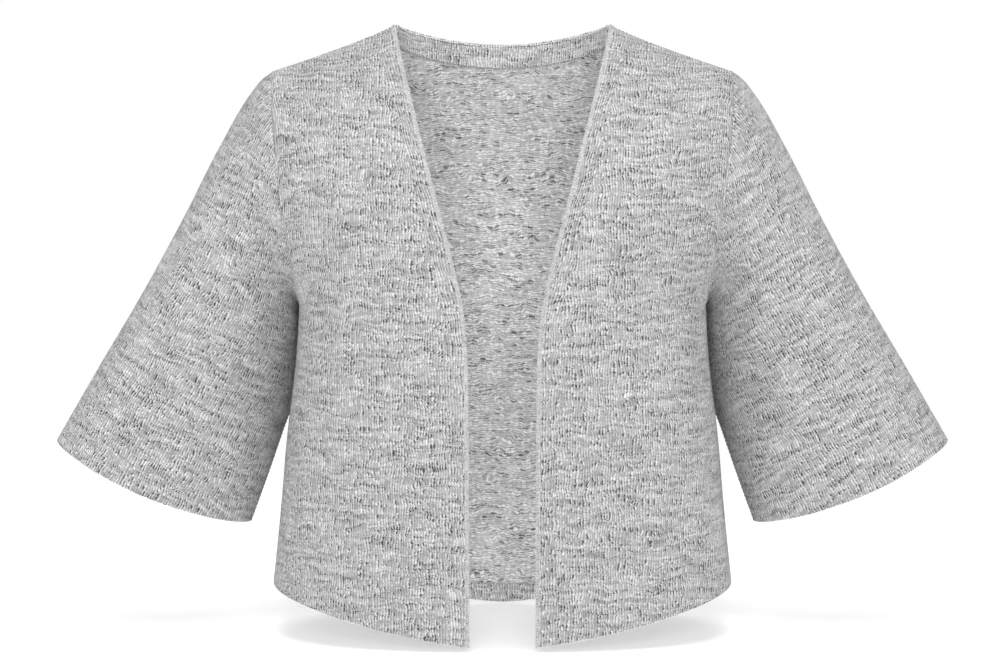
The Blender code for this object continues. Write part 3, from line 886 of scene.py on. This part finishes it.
def stitch_tree(material):
    """Geometry nodes that lay a grain of yarn at every pitch along each line of a piece."""
    tree = bpy.data.node_groups.new(material.name + "_stitches", "GeometryNodeTree")
    tree.interface.new_socket("Geometry", in_out="INPUT", socket_type="NodeSocketGeometry")
    for key in ("Pitch", "Length", "Width", "Lean"):
        tree.interface.new_socket(key, in_out="INPUT", socket_type="NodeSocketFloat")
    tree.interface.new_socket("Geometry", in_out="OUTPUT", socket_type="NodeSocketGeometry")
    given = tree.nodes.new("NodeGroupInput")
    line = wire(tree, "GeometryNodeMeshToCurve", given.outputs["Geometry"])
    resample = tree.nodes.new("GeometryNodeResampleCurve")
    resample.mode = "LENGTH"
    tree.links.new(line, resample.inputs["Curve"])
    tree.links.new(given.outputs["Pitch"], resample.inputs["Length"])
    out = tree.nodes.new("GeometryNodeInputNamedAttribute")
    out.data_type = "FLOAT_VECTOR"
    out.inputs["Name"].default_value = "out"
    turn = tree.nodes.new("FunctionNodeAxesToRotation")
    turn.primary_axis, turn.secondary_axis = "Z", "X"
    tree.links.new(out.outputs["Attribute"], turn.inputs["Primary Axis"])
    tree.links.new(wire(tree, "GeometryNodeInputTangent"), turn.inputs["Secondary Axis"])
    leaned = tree.nodes.new("FunctionNodeRotateRotation")
    leaned.rotation_space = "LOCAL"
    turned_by = wire(tree, "ShaderNodeCombineXYZ", 0.0, 0.0, given.outputs["Lean"])
    lean = wire(tree, "FunctionNodeEulerToRotation", turned_by)
    tree.links.new(turn.outputs[0], leaned.inputs[0])
    tree.links.new(lean, leaned.inputs[1])
    grain = tree.nodes.new("GeometryNodeMeshUVSphere")
    grain.inputs["Segments"].default_value = 8
    grain.inputs["Rings"].default_value = 4
    grain.inputs["Radius"].default_value = 0.5
    sized = tree.nodes.new("GeometryNodeTransform")
    tree.links.new(grain.outputs["Mesh"], sized.inputs["Geometry"])
    size = wire(tree, "ShaderNodeCombineXYZ", given.outputs["Length"], given.outputs["Width"],
                given.outputs["Width"])
    tree.links.new(size, sized.inputs["Scale"])
    # Random numbers take their least and most in sockets 2 and 3, and give them in 1
    uneven = tree.nodes.new("FunctionNodeRandomValue")
    uneven.data_type = "FLOAT"
    uneven.inputs[2].default_value, uneven.inputs[3].default_value = 0.8, 1.1
    uneven.inputs["Seed"].default_value = 5
    placed = tree.nodes.new("GeometryNodeInstanceOnPoints")
    tree.links.new(resample.outputs["Curve"], placed.inputs["Points"])
    tree.links.new(sized.outputs["Geometry"], placed.inputs["Instance"])
    tree.links.new(leaned.outputs[0], placed.inputs["Rotation"])
    tree.links.new(uneven.outputs[1], placed.inputs["Scale"])
    real = wire(tree, "GeometryNodeRealizeInstances", placed.outputs["Instances"])
    smooth_faces = wire(tree, "GeometryNodeSetShadeSmooth", real)
    coated = tree.nodes.new("GeometryNodeSetMaterial")
    tree.links.new(smooth_faces, coated.inputs["Geometry"])
    coated.inputs["Material"].default_value = material
    tree.links.new(coated.outputs["Geometry"], tree.nodes.new("NodeGroupOutput").inputs["Geometry"])
    return tree


def stitches(name, tree, lines, pitch, length, width, lean):
    """A piece of stitches along lines, each given as its points and the ways out of the cloth there."""
    ends = np.cumsum([len(points) for points, _ in lines])
    edges = [(i, i + 1) for i in range(ends[-1] - 1) if i + 1 not in ends]
    mesh = bpy.data.meshes.new(name)
    mesh.from_pydata(np.concatenate([points for points, _ in lines]), edges, [])
    out = mesh.attributes.new("out", "FLOAT_VECTOR", "POINT")
    out.data.foreach_set("vector", np.concatenate([ways for _, ways in lines]).ravel().astype(np.float32))
    piece = bpy.data.objects.new(name, mesh)
    bpy.context.scene.collection.objects.link(piece)
    laid = piece.modifiers.new("stitches", "NODES")
    laid.node_group = tree
    sockets = {item.name: item.identifier for item in tree.interface.items_tree if item.in_out == "INPUT"}
    for key, value in (("Pitch", pitch), ("Length", length), ("Width", width), ("Lean", lean)):
        laid[sockets[key]] = value
    solid = bpy.data.meshes.new_from_object(piece.evaluated_get(bpy.context.evaluated_depsgraph_get()))
    piece.modifiers.clear()
    piece.data = solid
    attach(piece, "root")
    return piece


def on_cloth(grid, normals, lift):
    return grid + lift * normals, normals


def under_cloth(grid, normals, layers):
    """A line lying on the inside of the cloth, facing in."""
    return grid - layers * CLOTH * normals, -normals


CHAIN_ROWS = (0.02, 0.28, 0.54)     # shares of the way to 4.5 mm in from the edge
# How far inside the cloth's surface the linking yarn lies, at an armhole, under an arm and at other seams
ARMHOLE_IN, UNDERARM_IN, SEAM_IN = 0.0003, 0.0001, 0.0006
cuff_fold = -CUFF_TURNED - 1
linked, caught, turned_edges, chains = [], [], [], {1: [], -1: []}
for piece, grid, normals in zip(PIECES, grids, all_normals):
    if piece.closed:
        ring = np.r_[np.arange(grid.shape[1]), 0]
        under = len(armhole_climbs) - 1
        linked += [on_cloth(grid[0, ring], normals[0, ring], -ARMHOLE_IN)]
        linked += [on_cloth(grid[1:-1, under], normals[1:-1, under], -UNDERARM_IN)]
        caught += [on_cloth(grid[cuff_fold, ring], normals[cuff_fold, ring], 0.0)]
        turned_edges += [under_cloth(grid[cuff_fold, ring], normals[cuff_fold, ring], 2)]
    else:
        turned_edges += [under_cloth(grid[HEM_TURNED - 1], normals[HEM_TURNED - 1], 2)]
        if piece.name == "back":
            for column in (0, -1):
                sewn = CLIMBS < 1
                linked += [on_cloth(grid[sewn, column], normals[sewn, column], -SEAM_IN)]
            for shoulder in (grid[-1, :, 0] > NECK_HALF, grid[-1, :, 0] < -NECK_HALF):
                linked += [on_cloth(grid[-1, shoulder], normals[-1, shoulder], -SEAM_IN)]
        else:
            above_hem, edge_fold = slice(HEM_TURNED + 1, None), EDGE_TURNED - 1
            turned_edges += [under_cloth(grid[above_hem, edge_fold], normals[above_hem, edge_fold], 2)]
            hand = 1 if piece.name == "front_left" else -1
            for lean_way, share in zip((hand, -hand, hand), CHAIN_ROWS):
                line = grid[1:, 0] + share * (grid[1:, 2] - grid[1:, 0])
                chains[lean_way] += [on_cloth(line, normals[1:, 1], 0.0)]
turned_edges += [under_cloth(facing_grid[0], facing_normals[0], 1)]

dark_tree, pale_tree, grey_tree = stitch_tree(dark_yarn), stitch_tree(pale_yarn_painted_highlight), stitch_tree(grey_yarn)
# name, yarn, lines, pitch, length and width of a stitch, and its lean
for name, tree, lines, pitch, length, width, lean in (
    ("seam_stitches", dark_tree, linked, 0.0036, 0.0026, 0.0009, 0.0),
    ("cuff_stitches", grey_tree, caught, 0.0040, 0.0022, 0.0006, 0.0),
    ("turning_stitches", grey_tree, turned_edges, 0.0032, 0.0030, 0.0009, 0.5),
    ("edge_chain_one", pale_tree, chains[1], 0.0023, 0.0028, 0.0013, 0.35),
    ("edge_chain_two", pale_tree, chains[-1], 0.0023, 0.0028, 0.0013, -0.35),
):
    stitches(name, tree, lines, pitch, length, width, lean)
